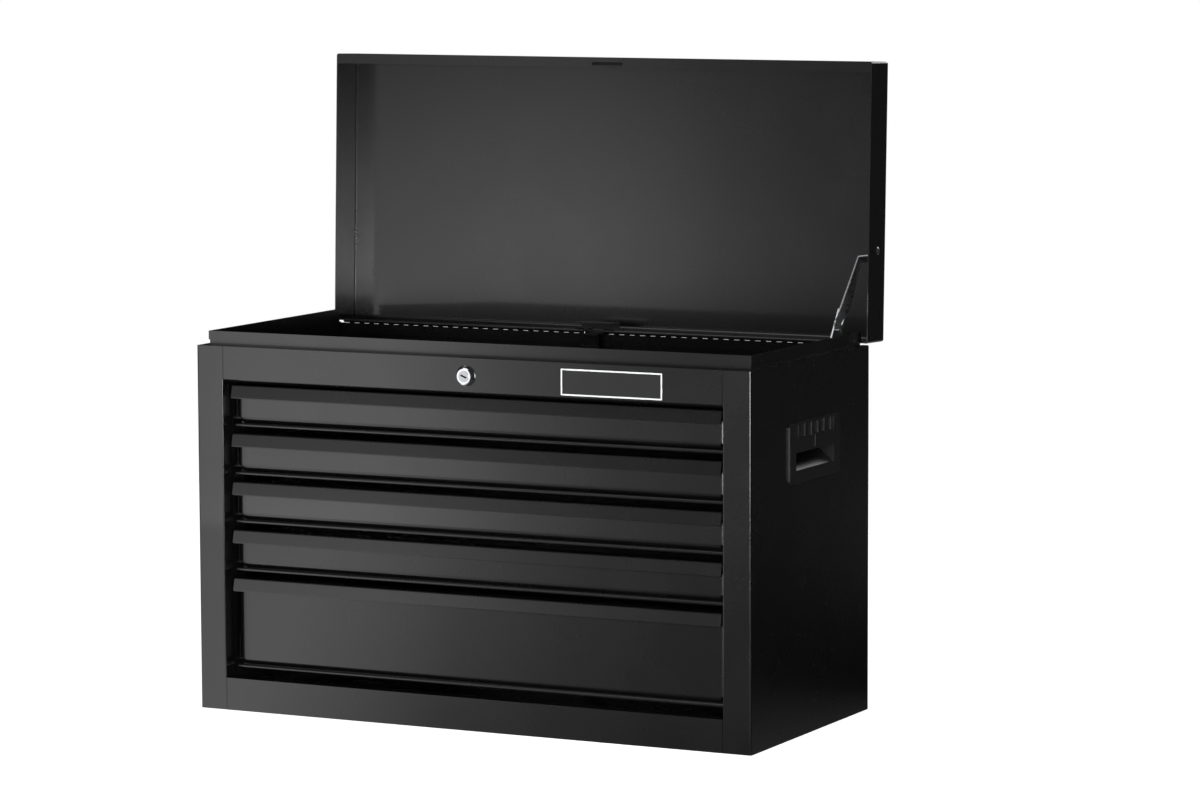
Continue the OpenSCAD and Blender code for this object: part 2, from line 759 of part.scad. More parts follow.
// Angle welded inside the lid's front flange; its lower leg is the lid's return lip
module lid_front_channel() {
    lip_y = lid_front_y + lid_lip;
    notch_x = cam_slot_x0 + cam_slot_l / 2;
    color(paint) lid_opened() difference() {
        intersection() {
            lid_block(sheet);
            union() {
                slab(-lid_x, lid_x, lid_front_y, lip_y, lid_bottom, lid_bottom + sheet);
                slab(-lid_x, lid_x, lid_front_y, lid_front_y + 2 * sheet,
                     lid_bottom, lid_bottom + channel_leg);
            }
        }
        slab(cam_slot_x0, cam_slot_x0 + cam_slot_l, cam_slot_y - cam_slot_w / 2 - 0.4,
             cam_slot_y + cam_slot_w / 2 + 0.4, lid_bottom - over, lid_bottom + sheet + over);
        slab(notch_x, notch_x + 12, lip_y - 1.2, lip_y + over,
             lid_bottom - over, lid_bottom + sheet + over);
    }
}

// Undoes lid_opened() for what is placed by the open lid
module lid_closed_again() {
    translate([0, hinge_y, hinge_z]) rotate([lid_open_angle, 0, 0])
        translate([0, -hinge_y, -hinge_z]) children();
}

// Plate on the lip's inner face that the lock's hook catches
module lid_strike() {
    z0 = lid_bottom + sheet;
    color(paint) lid_opened() difference() {
        slab(cam_slot_x0 - strike_left, cam_slot_x0 + cam_slot_l + strike_right,
             lid_front_y + 2 * sheet,
             lid_front_y + lid_lip - 1.5, z0, z0 + strike_t);
        slab(cam_slot_x0, cam_slot_x0 + cam_slot_l, cam_slot_y - cam_slot_w / 2,
             cam_slot_y + cam_slot_w / 2, z0 - over, z0 + strike_t + over);
    }
}

// Bracket on the lid's rear flange that presses the lock bar down as the lid shuts
module lid_lock_tab() {
    shelf_z = hinge_z + leaf_start + leaf_w + 1.5;
    leg_y = lid_rear_y - sheet - tab_t;
    push_z = bar_top_z - bar_travel + 0.3;
    notch = 1.2;
    color(paint) lid_opened() difference() {
        union() {
            slab(-tab_half_w, tab_half_w, leg_y, leg_y + tab_t, shelf_z, shelf_z + 12);
            slab(-tab_half_w, tab_half_w, tab_y - tab_t, leg_y + tab_t, shelf_z, shelf_z + tab_t);
            slab(-tab_half_w, tab_half_w, tab_y - tab_t, tab_y, push_z, shelf_z + tab_t);
        }
        slab(2, 2 + 2 * notch, tab_y - 2 * tab_t, tab_y + over, push_z - over, push_z + notch);
    }
}

// ---------------------------------------------------------------- piano hinge

knuckle_pairs = floor((half_w - hinge_inset - hinge_space / 2) / knuckle_pitch);
function knuckle_x(i, leaf) = hinge_space / 2 + (i + leaf / 2) * knuckle_pitch;
hinge_end_x = hinge_space / 2 + knuckle_pairs * knuckle_pitch;

// One leaf in outline: side is 1 for the case leaf, which hangs behind the axis, and -1 for
// the lid leaf, which stands in front of it when the lid is shut
module knuckle_outline(side) {
    translate([hinge_y, hinge_z]) difference() {
        union() {
            circle(knuckle_r);
            rotate(side > 0 ? 180 : 0) translate([-hinge_off - leaf_t, leaf_root])
                square([leaf_t, leaf_start - leaf_root + 0.1]);
        }
        circle(hinge_pin_d / 2 + pin_clear);
    }
}
module leaf_outline(side) {
    translate([hinge_y, hinge_z]) rotate(side > 0 ? 180 : 0)
        translate([-hinge_off - leaf_t, leaf_start]) square([leaf_t, leaf_w]);
}
module hinge_leaf(side) {
    leaf = side > 0 ? 0 : 1;
    color(paint) {
        along_x(hinge_space / 2, hinge_end_x) leaf_outline(side);
        for (i = [0 : knuckle_pairs - 1])
            along_x(knuckle_x(i, leaf) + knuckle_gap / 2,
                    knuckle_x(i, leaf) + (knuckle_pitch - knuckle_gap) / 2) knuckle_outline(side);
    }
}
module hinge_pin() {
    color(zinc) translate([hinge_space / 2, hinge_y, hinge_z]) rotate([0, 90, 0])
        cylinder(d = hinge_pin_d, h = hinge_end_x - hinge_space / 2);
}
module hinge_right_case_leaf() { hinge_leaf(1); }
module hinge_right_lid_leaf() { lid_opened() hinge_leaf(-1); }
module hinge_right_pin() { hinge_pin(); }
module hinge_left_case_leaf() { mirror([1, 0, 0]) hinge_leaf(1); }
module hinge_left_lid_leaf() { mirror([1, 0, 0]) lid_opened() hinge_leaf(-1); }
module hinge_left_pin() { mirror([1, 0, 0]) hinge_pin(); }

// ---------------------------------------------------------------- lid stay

// Direction from a to b, and the direction square to it that points to the front
function toward(a, b) = (b - a) / norm(b - a);
function frontward(a, b) = let (u = toward(a, b)) [u.y, -u.x];

// Straight strip from a to b with its own widths in front of and behind the line
module strip(a, b, front, back) {
    f = frontward(a, b);
    polygon([a + f * front, b + f * front, b - f * back, a - f * back]);
}

// Upper arm: ear beside the lid's end, web stepping inwards, arm and the stop lug past the elbow
module stay_upper_arm() {
    u = toward(lid_pivot, elbow);
    f = frontward(lid_pivot, elbow);
    web_front = lid_pivot - [web_forward, web_drop];
    web_back = web_front - f * web_w;
    web_rise = -u * (ear_x - upper_x) * tan(web_tilt);
    lug = stop_stud + [-0.605, 0.796] * (stop_lug_r + stop_stud_r + 0.3);
    color(zinc) {
        difference() {
            along_x(upper_x, upper_x + arm_t) {
                polygon([web_front, elbow + u * arm_front * 1.2 + f * arm_front * 1.08,
                         elbow - f * arm_back * 0.9, web_back + u * arm_back / 2, web_back]);
                translate(elbow) circle(arm_back);
                translate(lug) circle(stop_lug_r);
                strip(elbow, lug, stop_lug_r, stop_lug_r - 1);
            }
            translate([upper_x - over, elbow.x, elbow.y]) rotate([0, 90, 0])
                cylinder(r = stay_pin_r + run_clear, h = arm_t + 2 * over);
        }
        translate([upper_x, web_back.x, web_back.y]) rotate([atan2(f.y, f.x) - 180, 0, 0])
            rotate([0, -web_tilt, 0]) translate([0, -web_w, -arm_t])
                cube([(ear_x + arm_t - upper_x) / cos(web_tilt), web_w, arm_t]);
        difference() {
            along_x(ear_x, ear_x + arm_t) {
                translate(lid_pivot) circle(arm_back);
                polygon([web_front + web_rise + u * arm_t, web_front + web_rise,
                         lid_pivot + arm_back * [-0.5, 0.866], lid_pivot + [0, -arm_back],
                         web_back + web_rise + u * arm_t]);
            }
            translate([ear_x - over, lid_pivot.x, lid_pivot.y]) rotate([0, 90, 0])
                cylinder(r = stay_pin_r + run_clear, h = arm_t + 2 * over);
        }
    }
}

// Lower arm: bored at the case pin, slotted at the elbow, with the stop stud riveted on
module stay_lower_arm() {
    slot_r = stay_pin_r + slot_room;
    u = toward(elbow, case_pivot);
    f = frontward(elbow, case_pivot);
    color(zinc) {
        difference() {
            along_x(lower_x, lower_x + arm_t) difference() {
                union() {
                    polygon([elbow - u * arm_back / 2 + f * arm_back * 0.8,
                             elbow + u * arm_back + f * arm_front,
                             case_pivot - u * arm_front * 2 + f * (arm_back + arm_front) / 2,
                             case_pivot + f * arm_back, case_pivot - f * arm_back,
                             elbow - f * arm_back]);
                    translate(elbow) circle(arm_back);
                    translate(case_pivot) circle(arm_back);
                }
                translate(elbow) circle(slot_r);
                translate(elbow + u * slot_run) circle(slot_r);
                strip(elbow, elbow + u * slot_run, slot_r, slot_r);
            }
            translate([lower_x - over, case_pivot.x, case_pivot.y]) rotate([0, 90, 0])
                cylinder(r = stay_pin_r + run_clear, h = arm_t + 2 * over);
        }
        translate([lower_x + arm_t, stop_stud.x, stop_stud.y]) rotate([0, 90, 0]) {
            cylinder(r = stop_stud_r, h = upper_x - lower_x + 0.3);
            translate([0, 0, upper_x - lower_x + 0.3]) cylinder(r1 = 2.8, r2 = 2, h = 0.9);
        }
    }
}

// Headed pin along X: shank from x0 to x1 and a domed head at its outer end
module headed_pin(at, x0, x1, r, head_r, head_h) {
    translate([x0, at.x, at.y]) rotate([0, 90, 0]) {
        cylinder(r = r, h = x1 - x0);
        translate([0, 0, x1 - x0]) cylinder(r1 = head_r, r2 = head_r * 0.6, h = head_h);
    }
}
module stay_lid_pin() {
    color("silver") {
        headed_pin(lid_pivot, ear_x - 0.3, lid_x, stay_pin_r, 4.2, 1.6);
        translate([ear_x - 1.5, lid_pivot.x, lid_pivot.y]) rotate([0, 90, 0])
            cylinder(r = 4, h = 1.2);
    }
}
module stay_elbow_rivet() {
    color("silver") {
        headed_pin(elbow, lower_x - 0.3, upper_x + arm_t, stay_pin_r, 4, 1.3);
        translate([lower_x - 1.3, elbow.x, elbow.y]) rotate([0, 90, 0])
            cylinder(r = stay_pin_r + slot_room + 1.4, h = 1);
    }
}
module stay_case_pin() {
    wall_in = wall_x - sheet;
    color("silver") translate([0, case_pivot.x, case_pivot.y]) rotate([0, 90, 0]) {
        translate([0, 0, lower_x - 0.3]) cylinder(r = stay_pin_r, h = wall_in - lower_x + 0.3);
        translate([0, 0, lower_x - 1.5]) cylinder(r = 4.2, h = 1.2);
        translate([0, 0, lower_x + arm_t + 0.3]) cylinder(r = 5, h = wall_in - lower_x - arm_t - 0.3);
    }
}

// ---------------------------------------------------------------- drawers

// Drawer body: folded tray with rolled edges along its sides
module drawer_body(n) {
    t = drawer_sheet;
    z0 = box_floor(n);
    z1 = box_top(n);
    color(paint) {
        difference() {
            slab(-box_x, box_x, box_front_y, box_back_y, z0, z1);
            slab(-box_x + t, box_x - t, box_front_y + t, box_back_y - t, z0 + t, z1 + over);
        }
        both_sides() slab(box_x - 2.2 * t, box_x - t, box_front_y + t, box_back_y - t,
                          z1 - roll_h, z1);
    }
}

// Plan of the hollow front: flat face, rounded upright edges and returns to the body
module front_plan() {
    t = drawer_sheet;
    r = face_edge_r;
    translate([-face_x + r, face_y]) square([2 * (face_x - r), t]);
    both_sides() {
        bend([face_x - r, face_y + r], r, t, 1, -1);
        translate([face_x - t, face_y + r]) square([t, box_front_y - face_y - r]);
    }
}

// Section of the pull: the face's top folded forwards, down and under
module pull_section(top) {
    t = drawer_sheet;
    edge_y = front_y + pull_recess;
    crest_y = edge_y + pull_lean;
    foot = top - pull_h;
    hem_top = foot + pull_hem_h;
    polygon([[box_front_y, top], [crest_y + t, top], [crest_y + t * 0.3, top - t * 0.3],
             [crest_y, top - t], [edge_y, foot + t], [edge_y + t * 0.3, foot + t * 0.3],
             [edge_y + t, foot], [edge_y + pull_hem, foot], [edge_y + pull_hem, hem_top],
             [edge_y + t + pull_lean * pull_hem_h / pull_h, hem_top], [crest_y + t, top - t],
             [box_front_y - t, top - t], [box_front_y - t, top - pull_h],
             [box_front_y, top - pull_h]]);
}

// Section of the face's foot, rolled back to the drawer body
module foot_section(foot) {
    t = drawer_sheet;
    centre = [face_y + foot_r, foot + lip_h];
    bend(centre, foot_r, t, -1, -1);
    translate([centre.x, centre.y - foot_r]) square([front_depth - foot_r, t]);
}

// Section of the step under the face, out to a rolled bead
module lip_section(foot) {
    t = drawer_sheet;
    bead = [front_y + bead_recess + bead_r, foot + bead_r];
    translate([box_front_y - t, bead.y]) square([t, lip_h - foot_r - bead_r + t]);
    translate([bead.x, bead.y - t / 2]) square([box_front_y - bead.x, t]);
    translate(bead) circle(bead_r);
}

module drawer_front(n) {
    top = drawer_top(n);
    foot = drawer_foot(n);
    color(paint) {
        translate([0, 0, foot + lip_h]) linear_extrude(top - foot - lip_h - drawer_sheet)
            front_plan();
        along_x(-front_x, front_x) {
            pull_section(top);
            lip_section(foot);
        }
        along_x(-face_x + face_edge_r, face_x - face_edge_r) foot_section(foot);
    }
}

// ---------------------------------------------------------------- slides

// Case member: channel open towards the drawer
module slide_outer(n) {
    z = slide_z(n);
    color(slide_black) both_sides() difference() {
        slab(outer_edge_x, opening_x, slide_front_y, slide_back_y,
             z - slide_h / 2, z + slide_h / 2);
        slab(outer_edge_x - over, opening_x - slide_wall, slide_front_y - over,
             slide_back_y + over, z - slide_h / 2 + slide_wall, z + slide_h / 2 - slide_wall);
    }
}

// Drawer member: smaller channel, open towards the case
module slide_inner(n) {
    z = slide_z(n);
    color(slide_black) both_sides() difference() {
        slab(box_x, inner_edge_x, slide_front_y, slide_back_y,
             z - inner_half_h, z + inner_half_h);
        slab(box_x + slide_wall, inner_edge_x + over, slide_front_y - over, slide_back_y + over,
             z - inner_half_h + slide_wall, z + inner_half_h - slide_wall);
    }
}

// Ball cages: a bent strip each side with its balls loose in their holes
module slide_cage(n) {
    z = slide_z(n);
    mid_y = (slide_front_y + slide_back_y) / 2;
    leg_z = ball_z - cage_t / 2;
    spots = [-ball_pitch, 0, ball_pitch];
    color(zinc) both_sides() translate([0, mid_y, z]) {
        difference() {
            union() {
                slab(cage_web_x, cage_web_x + cage_t, -cage_l / 2, cage_l / 2,
                     -leg_z - cage_t, leg_z + cage_t);
                for (s = [-1, 1])
                    translate([0, 0, s * ball_z])
                        slab(ball_x - 2.5, cage_web_x + cage_t, -cage_l / 2, cage_l / 2,
                             -cage_t / 2, cage_t / 2);
            }
            for (y = spots) translate([ball_x, y, -slide_h / 2])
                cylinder(r = ball_d / 2 + ball_clear, h = slide_h);
        }
        for (y = spots, s = [-1, 1]) translate([ball_x, y, s * ball_z]) sphere(d = ball_d);
    }
}

// ---------------------------------------------------------------- assembly

side_panel_left();
side_panel_right();
back_panel();
bottom_pan();
top_rail();
bottom_rail();
till_rim();
till_floor();
slide_upright_left();
slide_upright_right();
nameplate();
lock_housing();
lock_clip();
lock_plug();
lock_cam();
handle_left();
handle_right();
lock_bar();
lock_bar_guide();
lock_bar_spring();
lid_pan();
lid_front_channel();
lid_strike();
lid_lock_tab();
hinge_left_case_leaf();
hinge_left_lid_leaf();
hinge_left_pin();
hinge_right_case_leaf();
hinge_right_lid_leaf();
hinge_right_pin();
stay_upper_arm();
stay_lower_arm();
stay_lid_pin();
stay_case_pin();
stay_elbow_rivet();
for (n = [1 : shallow_drawers + 1]) {
    drawer_body(n);
    drawer_front(n);
    slide_outer(n);
    slide_inner(n);
    slide_cage(n);
}
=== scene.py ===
import math

import bpy
from mathutils import Matrix, Vector

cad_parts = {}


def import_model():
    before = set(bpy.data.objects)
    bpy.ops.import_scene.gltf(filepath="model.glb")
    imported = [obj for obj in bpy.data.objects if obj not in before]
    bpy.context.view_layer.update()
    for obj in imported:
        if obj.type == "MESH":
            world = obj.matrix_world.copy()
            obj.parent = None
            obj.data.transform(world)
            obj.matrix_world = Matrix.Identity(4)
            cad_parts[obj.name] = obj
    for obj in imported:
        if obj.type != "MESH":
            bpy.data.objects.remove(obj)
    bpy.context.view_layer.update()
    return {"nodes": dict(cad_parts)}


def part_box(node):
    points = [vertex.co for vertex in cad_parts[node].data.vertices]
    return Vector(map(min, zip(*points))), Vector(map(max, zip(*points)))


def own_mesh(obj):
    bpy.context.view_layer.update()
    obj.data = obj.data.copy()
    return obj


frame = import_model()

NODES = frame["nodes"]
scene = bpy.context.scene


# ---------------------------------------------------------------- node helpers

# Sockets of the colour mix node, whose names are shared with its other data types
MIX_FACTOR, MIX_A, MIX_B, MIX_RESULT = 0, 6, 7, 2
WHITE = (1, 1, 1, 1)


def new_material(name):
    mat = bpy.data.materials.new(name)
    mat.use_nodes = True
    mat.node_tree.nodes.clear()
    return mat, mat.node_tree


def put(tree, socket, value):
    """Links an input to another node's socket, or sets it to a plain value."""
    if isinstance(value, bpy.types.NodeSocket):
        tree.links.new(value, socket)
    else:
        socket.default_value = value


def add(tree, kind, **inputs):
    """New node. Each keyword is the name of an input, with _ for a space."""
    node = tree.nodes.new(kind)
    for key, value in inputs.items():
        put(tree, node.inputs[key.replace("_", " ")], value)
    return node


def math_node(tree, operation, a, b):
    node = tree.nodes.new("ShaderNodeMath")
    node.operation = operation
    put(tree, node.inputs[0], a)
    put(tree, node.inputs[1], b)
    return node.outputs[0]


def mix_colours(tree, factor, a, b):
    node = tree.nodes.new("ShaderNodeMix")
    node.data_type = "RGBA"
    put(tree, node.inputs[MIX_FACTOR], factor)
    put(tree, node.inputs[MIX_A], a)
    put(tree, node.inputs[MIX_B], b)
    return node.outputs[MIX_RESULT]


def mix_shaders(tree, factor, first, second):
    node = tree.nodes.new("ShaderNodeMixShader")
    for socket, value in zip(node.inputs, (factor, first, second)):
        put(tree, socket, value)
    return node.outputs[0]


def ramp(tree, value, low, high, from_min=0.0, from_max=1.0):
    """Maps a socket's range to low..high, clamped."""
    node = add(tree, "ShaderNodeMapRange", Value=value, From_Min=from_min, From_Max=from_max,
               To_Min=low, To_Max=high)
    return node.outputs["Result"]


def near_centre(tree, place, inner, outer):
    """1 within inner of a position socket's zero, falling smoothly to 0 at outer."""
    length = tree.nodes.new("ShaderNodeVectorMath")
    length.operation = "LENGTH"
    put(tree, length.inputs[0], place)
    share = ramp(tree, length.outputs["Value"], 1.0, 0.0, inner, outer)
    share.node.interpolation_type = "SMOOTHERSTEP"
    return share


def graded(tree, value, stops):
    """Number that follows a list of (place, number), straight between the places."""
    low, high = stops[0][0], stops[-1][0]
    most = max(number for _, number in stops)
    band = add(tree, "ShaderNodeValToRGB", Fac=ramp(tree, value, 0.0, 1.0, low, high))
    points = band.color_ramp.elements
    while len(points) < len(stops):
        points.new(0.5)
    for point, (at, _) in zip(points, stops):
        point.position = (at - low) / (high - low)
    for point, (_, number) in zip(points, stops):
        point.color = (*[number / most] * 3, 1)
    return math_node(tree, "MULTIPLY", band.outputs["Color"], most)


# ---------------------------------------------------------------- materials

PATCH_RANGE = (0.3, 0.7)   # span of the patch noise over which the gloss varies
RELIEF_DEPTH = 0.0002      # metres


def surface(name, colour, spread, rough, rough_spread, bump, bump_scale, metallic=0.0,
            stretch=(1.0, 1.0, 1.0), coat=0.0, coat_rough=0.05, patch_scale=9.0):
    """Principled surface with mottled colour, uneven gloss and a fine relief."""
    mat, tree = new_material(name)
    coord = add(tree, "ShaderNodeTexCoord").outputs["Object"]
    place = add(tree, "ShaderNodeMapping", Vector=coord, Scale=stretch).outputs["Vector"]
    patches = add(tree, "ShaderNodeTexNoise", Vector=place, Scale=patch_scale, Detail=5.0,
                  Roughness=0.6).outputs["Fac"]
    grain = add(tree, "ShaderNodeTexNoise", Vector=place, Scale=bump_scale, Detail=3.0,
                Roughness=0.55).outputs["Fac"]
    darker = (*[c * (1 - spread) for c in colour], 1)
    lighter = (*[c * (1 + spread) for c in colour], 1)
    relief = add(tree, "ShaderNodeBump", Strength=bump, Distance=RELIEF_DEPTH, Height=grain)
    bsdf = add(tree, "ShaderNodeBsdfPrincipled",
               Base_Color=mix_colours(tree, patches, darker, lighter),
               Roughness=ramp(tree, patches, rough - rough_spread, rough + rough_spread,
                              *PATCH_RANGE),
               Normal=relief.outputs["Normal"], Metallic=metallic, Coat_Weight=coat,
               Coat_Roughness=coat_rough)
    add(tree, "ShaderNodeOutputMaterial", Surface=bsdf.outputs["BSDF"])
    return mat


def recolour_by_depth(mat, node, colour, start, end, before, after):
    """Blends in a second colour by the depth behind the node's foremost face: its share is
    before down to the depth start, and after from the depth end."""
    tree = mat.node_tree
    place = add(tree, "ShaderNodeNewGeometry").outputs["Position"]
    depth = add(tree, "ShaderNodeSeparateXYZ", Vector=place).outputs["Y"]
    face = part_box(node)[0][1]
    share = ramp(tree, depth, before, after, face + start, face + end)
    bsdf = next(n for n in tree.nodes if n.type == "BSDF_PRINCIPLED")
    base = bsdf.inputs["Base Color"]
    put(tree, base, mix_colours(tree, share, base.links[0].from_socket, (*colour, 1)))
    return mat


PAINT = surface("gloss_black_enamel", (0.0045, 0.0045, 0.0048), spread=0.25, rough=0.27,
                rough_spread=0.03, bump=0.06, bump_scale=700.0, coat=0.4, coat_rough=0.06)
ZINC = surface("zinc_plate", (0.60, 0.61, 0.63), spread=0.08, rough=0.30, rough_spread=0.06,
               bump=0.10, bump_scale=900.0, metallic=1.0, stretch=(1.0, 1.0, 6.0),
               patch_scale=60.0)
SLIDE = surface("slide_black", (0.018, 0.018, 0.019), spread=0.12, rough=0.34,
                rough_spread=0.05, bump=0.06, bump_scale=500.0, stretch=(1.0, 0.08, 1.0),
                patch_scale=80.0)
CHROME = surface("chrome", (0.80, 0.81, 0.83), spread=0.02, rough=0.09, rough_spread=0.02,
                 bump=0.02, bump_scale=900.0, metallic=1.0)
PLASTIC = surface("black_plastic", (0.012, 0.012, 0.0125), spread=0.15, rough=0.30,
                  rough_spread=0.04, bump=0.15, bump_scale=1600.0)
SPRING = surface("spring_steel", (0.42, 0.42, 0.44), spread=0.05, rough=0.30,
                 rough_spread=0.05, bump=0.04, bump_scale=900.0, metallic=1.0)
# Turned key plug, with painted shade: its keyway below the face is coloured near-black
PLUG = recolour_by_depth(
    surface("plug_face_painted_keyway_shade", (0.50, 0.51, 0.53), spread=0.08, rough=0.18, rough_spread=0.04,
            bump=0.06, bump_scale=900.0, metallic=1.0),
    "lock_plug", (0.01, 0.01, 0.01), 0.00015, 0.00040, before=0.0, after=1.0)
# Bare nameplate: black field inside a raised satin border
PLATE = recolour_by_depth(
    surface("nameplate", (0.014, 0.014, 0.015), spread=0.1, rough=0.30, rough_spread=0.03,
            bump=0.04, bump_scale=800.0),
    "nameplate", (0.78, 0.79, 0.80), 0.00020, 0.00026, before=1.0, after=0.0)

FINISH = {"lock_housing": CHROME, "lock_plug": PLUG, "nameplate": PLATE,
          "handle_left": PLASTIC, "handle_right": PLASTIC, "lock_bar_spring": SPRING,
          **dict.fromkeys(("lock_clip", "lock_cam", "stay_upper_arm", "stay_lower_arm",
                           "stay_lid_pin", "stay_case_pin", "stay_elbow_rivet",
                           "hinge_left_pin", "hinge_right_pin"), ZINC)}
SLIDE_FINISH = {"_cage": ZINC, "_inner": SLIDE, "_outer": SLIDE}


def material_of(name):
    if name in FINISH:
        return FINISH[name]
    for ending, material in SLIDE_FINISH.items():
        if name.endswith(ending):
            return material
    return PAINT


# Edge rounding of each node in metres: sheet edges are broken, not sharp
EDGE = {"nameplate": 0.00012, "lock_plug": 0.00025, "lock_housing": 0.0003,
        "handle_left": 0.0009, "handle_right": 0.0009, "stay_upper_arm": 0.0003,
        "stay_lower_arm": 0.0003, "stay_elbow_rivet": 0.0011, "stay_lid_pin": 0.0011,
        "stay_case_pin": 0.0004}
SHEET_EDGE = 0.0003
ROUND_EDGE = 0.0008        # a wider edge than this gets more segments
EDGE_ANGLE = 40            # degrees
NO_EDGE = {"lock_bar_spring"}
for name, obj in NODES.items():
    for slot in obj.material_slots:
        slot.material = material_of(name)
    if not obj.material_slots:
        obj.data.materials.append(material_of(name))
    if name not in NO_EDGE and not name.endswith("_cage"):
        bevel = obj.modifiers.new("edge", "BEVEL")
        bevel.width = EDGE.get(name, SHEET_EDGE)
        bevel.segments = 4 if bevel.width > ROUND_EDGE else 2
        bevel.limit_method = "ANGLE"
        bevel.angle_limit = math.radians(EDGE_ANGLE)
        bevel.harden_normals = False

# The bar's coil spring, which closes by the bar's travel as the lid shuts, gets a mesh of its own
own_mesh(NODES["lock_bar_spring"])


# ---------------------------------------------------------------- stage

WORLD_GLOSS = 0.025        # what gloss sees of the surroundings
WORLD_FILL = 0.30          # light from all round on the chest and the floor
FLOOR_HALF = 6.0
FLOOR_DROP = 0.0005        # keeps the floor clear of the chest's underside
FLOOR_EDGE = (1.2, 2.6)    # radii between which the floor fades into the backdrop
FLOOR_COLOUR = (0.9, 0.9, 0.9, 1)
FLOOR_GLOW = 0.80          # the floor's own white, on top of what the lamps throw on it
FLOOR_BASE = 0.01          # what gloss sees of the floor away from the soft box
# Painted sheen: a glow on the floor behind the chest that only gloss sees
PAINTED_REAR_SHEEN = 0.35          # the same, behind the chest
REAR_DEPTH = (0.2, 0.5)    # Y over which the rear sheen comes in
REAR_ACROSS = (-0.15, 0.05)  # place across the pool over which it goes out
# Painted pool of light: a glow that gloss sees on the floor, standing in for what the left-hand
# soft box throws there: place across it, strength
PAINTED_FLOOR_POOL = [(-0.9, 0.6), (-0.55, 1.3), (-0.28, 1.5), (-0.15, 1.0), (-0.04, 0.50), (0.10, 0.25),
              (0.22, 0.13), (0.40, 0.06), (0.60, 0.02)]
POOL_SLANT = -0.5          # metres that the pool shifts to the right per metre towards the back
POOL_SHIFT = -0.075
POOL_DEPTH = (-0.15, 0.3)  # Y over which the pool goes out


def floor():
    half = FLOOR_HALF
    mesh = bpy.data.meshes.new("floor")
    mesh.from_pydata([(-half, -half, 0), (half, -half, 0), (half, half, 0), (-half, half, 0)],
                     [], [(0, 1, 2, 3)])
    obj = bpy.data.objects.new("floor", mesh)
    scene.collection.objects.link(obj)
    obj.location.z = -FLOOR_DROP
    mat, tree = new_material("floor_white")
    coord = add(tree, "ShaderNodeTexCoord").outputs["Object"]
    place = add(tree, "ShaderNodeSeparateXYZ", Vector=coord)
    path = add(tree, "ShaderNodeLightPath")

    # Gloss sees a painted pool of light in front, a painted sheen behind the chest's left half and
    # little elsewhere, all as glow from the floor
    slanted = math_node(tree, "ADD", place.outputs["X"],
                        math_node(tree, "MULTIPLY", place.outputs["Y"], POOL_SLANT))
    across = math_node(tree, "ADD", slanted, POOL_SHIFT)
    pool = math_node(tree, "MULTIPLY", graded(tree, across, PAINTED_FLOOR_POOL),
                     ramp(tree, place.outputs["Y"], 1.0, 0.0, *POOL_DEPTH))
    rear = math_node(tree, "MULTIPLY",
                     ramp(tree, place.outputs["Y"], 0.0, PAINTED_REAR_SHEEN, *REAR_DEPTH),
                     ramp(tree, across, 1.0, 0.0, *REAR_ACROSS))
    strength = math_node(tree, "MAXIMUM", math_node(tree, "MAXIMUM", FLOOR_BASE, rear), pool)
    gloss = add(tree, "ShaderNodeEmission", Color=WHITE, Strength=strength).outputs[0]

    # The camera sees a lit floor that glows white, and other rays see it lit
    lit = add(tree, "ShaderNodeBsdfDiffuse", Color=FLOOR_COLOUR).outputs[0]
    glow = add(tree, "ShaderNodeEmission", Color=WHITE, Strength=FLOOR_GLOW).outputs[0]
    seen = tree.nodes.new("ShaderNodeAddShader")
    put(tree, seen.inputs[0], glow)
    put(tree, seen.inputs[1], lit)
    by_camera = mix_shaders(tree, path.outputs["Is Camera Ray"], lit, seen.outputs[0])
    by_gloss = mix_shaders(tree, path.outputs["Is Glossy Ray"], by_camera, gloss)
    clear = tree.nodes.new("ShaderNodeBsdfTransparent").outputs[0]
    faded = mix_shaders(tree, near_centre(tree, coord, *FLOOR_EDGE), clear, by_gloss)
    add(tree, "ShaderNodeOutputMaterial", Surface=faded)
    mesh.materials.append(mat)


def world():
    """White backdrop to the camera, even fill to the chest, and dark to its gloss."""
    studio = bpy.data.worlds.new("studio")
    scene.world = studio
    studio.use_nodes = True
    tree = studio.node_tree
    tree.nodes.clear()
    path = add(tree, "ShaderNodeLightPath")
    fill, gloss, white = (
        add(tree, "ShaderNodeBackground", Color=WHITE, Strength=strength).outputs[0]
        for strength in (WORLD_FILL, WORLD_GLOSS, 1.0))
    by_gloss = mix_shaders(tree, path.outputs["Is Glossy Ray"], fill, gloss)
    seen = math_node(tree, "MAXIMUM", path.outputs["Is Camera Ray"],
                     path.outputs["Is Transmission Ray"])
    add(tree, "ShaderNodeOutputWorld", Surface=mix_shaders(tree, seen, by_gloss, white))


floor()
world()

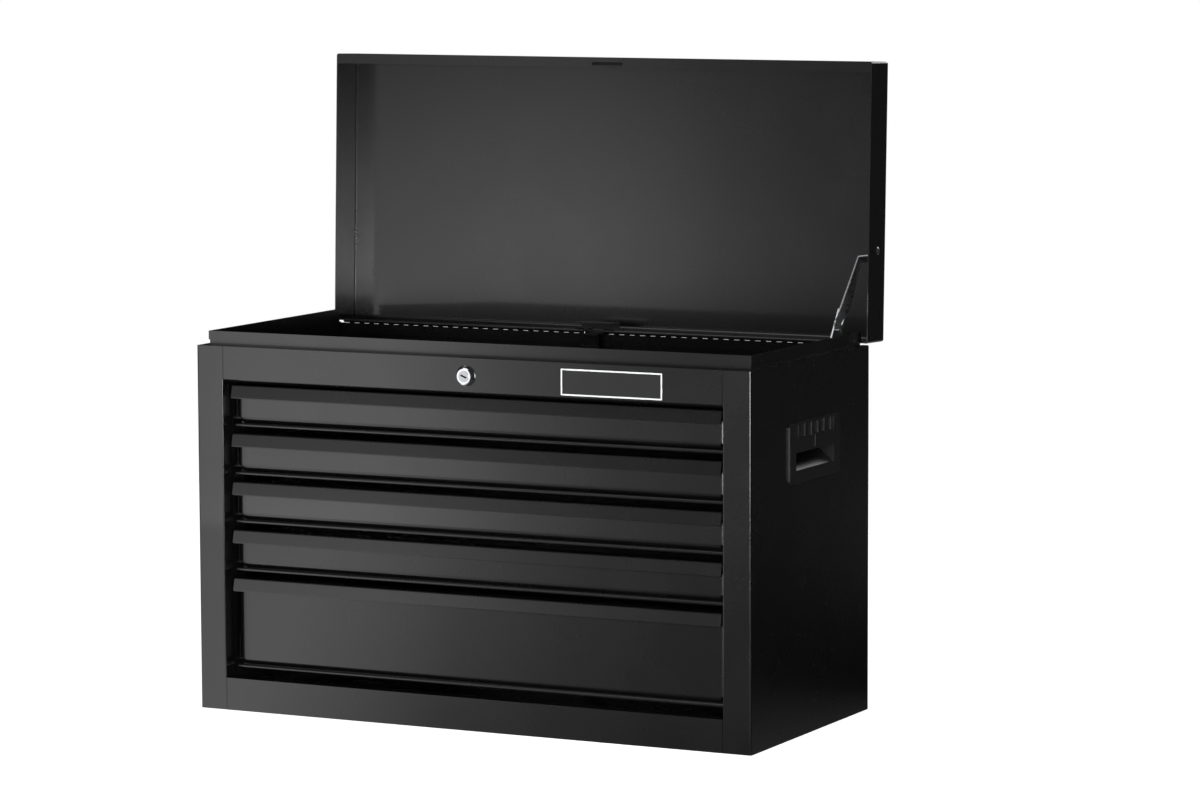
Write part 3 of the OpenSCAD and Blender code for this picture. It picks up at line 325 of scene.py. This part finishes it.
# Soft boxes: place of the centre, what it faces, width, height, radiance, and how its strength
# runs across and up, from the lamp's left to its right as it is faced and from low to high
ACROSS = [(0.0, 0.60), (0.18, 0.68), (0.34, 1.0), (0.42, 1.0), (0.50, 0.72), (0.56, 0.38),
          (0.66, 0.14), (0.75, 0.09), (1.0, 0.08)]
UPWARD = [(0.0, 2.0), (0.21, 2.0), (0.42, 1.95), (0.58, 1.35), (0.76, 0.68), (1.0, 0.5)]
LOW = [(0.0, 0.4), (0.35, 1.0), (0.55, 1.0), (0.67, 0.45), (0.78, 0.23), (0.93, 0.08), (1.0, 0.05)]
FLAT = [(0.0, 1.0), (1.0, 1.0)]
LIGHTS = [
    dict(name="soft_left", place=(-0.70, -1.40, 0.475), aim=(-0.70, 0.0, 0.475), width=1.60,
         height=0.95, radiance=1.0, across=ACROSS, upward=UPWARD),
    dict(name="soft_right", place=(0.55, -1.40, 0.40), aim=(0.55, 0.0, 0.40), width=0.50,
         height=0.60, radiance=28.0, across=FLAT, upward=LOW),
    dict(name="top", place=(-0.3, -0.9, 2.0), aim=(0.0, 0.0, 0.3), width=1.6, height=1.2,
         radiance=1.2, across=FLAT, upward=FLAT),
    dict(name="behind", place=(0.75, 2.2, 1.50), aim=(0.33, 0.0, 0.3), width=1.0, height=0.5,
         radiance=3.0, across=FLAT, upward=FLAT),
]


def soft_box(name, place, aim, width, height, radiance, across, upward):
    data = bpy.data.lights.new(name, "AREA")
    data.shape = "RECTANGLE"
    data.size = width
    data.size_y = height
    data.energy = math.pi * width * height   # makes the emission's strength a radiance
    data.use_nodes = True
    tree = data.node_tree
    tree.nodes.clear()
    spot = add(tree, "ShaderNodeNewGeometry").outputs["Parametric"]
    uv = add(tree, "ShaderNodeSeparateXYZ", Vector=spot)
    both = math_node(tree, "MULTIPLY", graded(tree, uv.outputs["X"], across),
                     graded(tree, uv.outputs["Y"], upward))
    glow = add(tree, "ShaderNodeEmission", Color=WHITE,
               Strength=math_node(tree, "MULTIPLY", both, radiance))
    add(tree, "ShaderNodeOutputLight", Surface=glow.outputs["Emission"])
    lamp = bpy.data.objects.new(name, data)
    lamp.location = place
    lamp.rotation_euler = (Vector(aim) - Vector(place)).to_track_quat("-Z", "Y").to_euler()
    lamp.visible_camera = False
    scene.collection.objects.link(lamp)


for light in LIGHTS:
    soft_box(**light)


# ---------------------------------------------------------------- camera

# Placed from the photograph's perspective: turned, tilted down and rolled, in degrees
CAMERA_PLACE = (2.3129, -4.4539, 0.8982)
CAMERA_TURN, CAMERA_TILT, CAMERA_ROLL = 26.606, 6.380, -0.202
SENSOR_WIDTH = 36.0
LENS = 140.25
CLIP_END = 60.0


def camera():
    turn, tilt, roll = map(math.radians, (CAMERA_TURN, CAMERA_TILT, CAMERA_ROLL))
    ahead = Vector((-math.sin(turn) * math.cos(tilt), math.cos(turn) * math.cos(tilt),
                    -math.sin(tilt)))
    level = Vector((math.cos(turn), math.sin(turn), 0))
    upright = level.cross(ahead)
    right = math.cos(roll) * level + math.sin(roll) * upright
    up = -math.sin(roll) * level + math.cos(roll) * upright
    data = bpy.data.cameras.new("camera")
    data.sensor_width = SENSOR_WIDTH
    data.lens = LENS
    data.clip_end = CLIP_END
    obj = bpy.data.objects.new("camera", data)
    scene.collection.objects.link(obj)
    turned = Matrix((right, up, -ahead)).transposed().to_4x4()
    obj.matrix_world = Matrix.Translation(CAMERA_PLACE) @ turned
    scene.camera = obj


camera()
scene.view_settings.view_transform = "Standard"
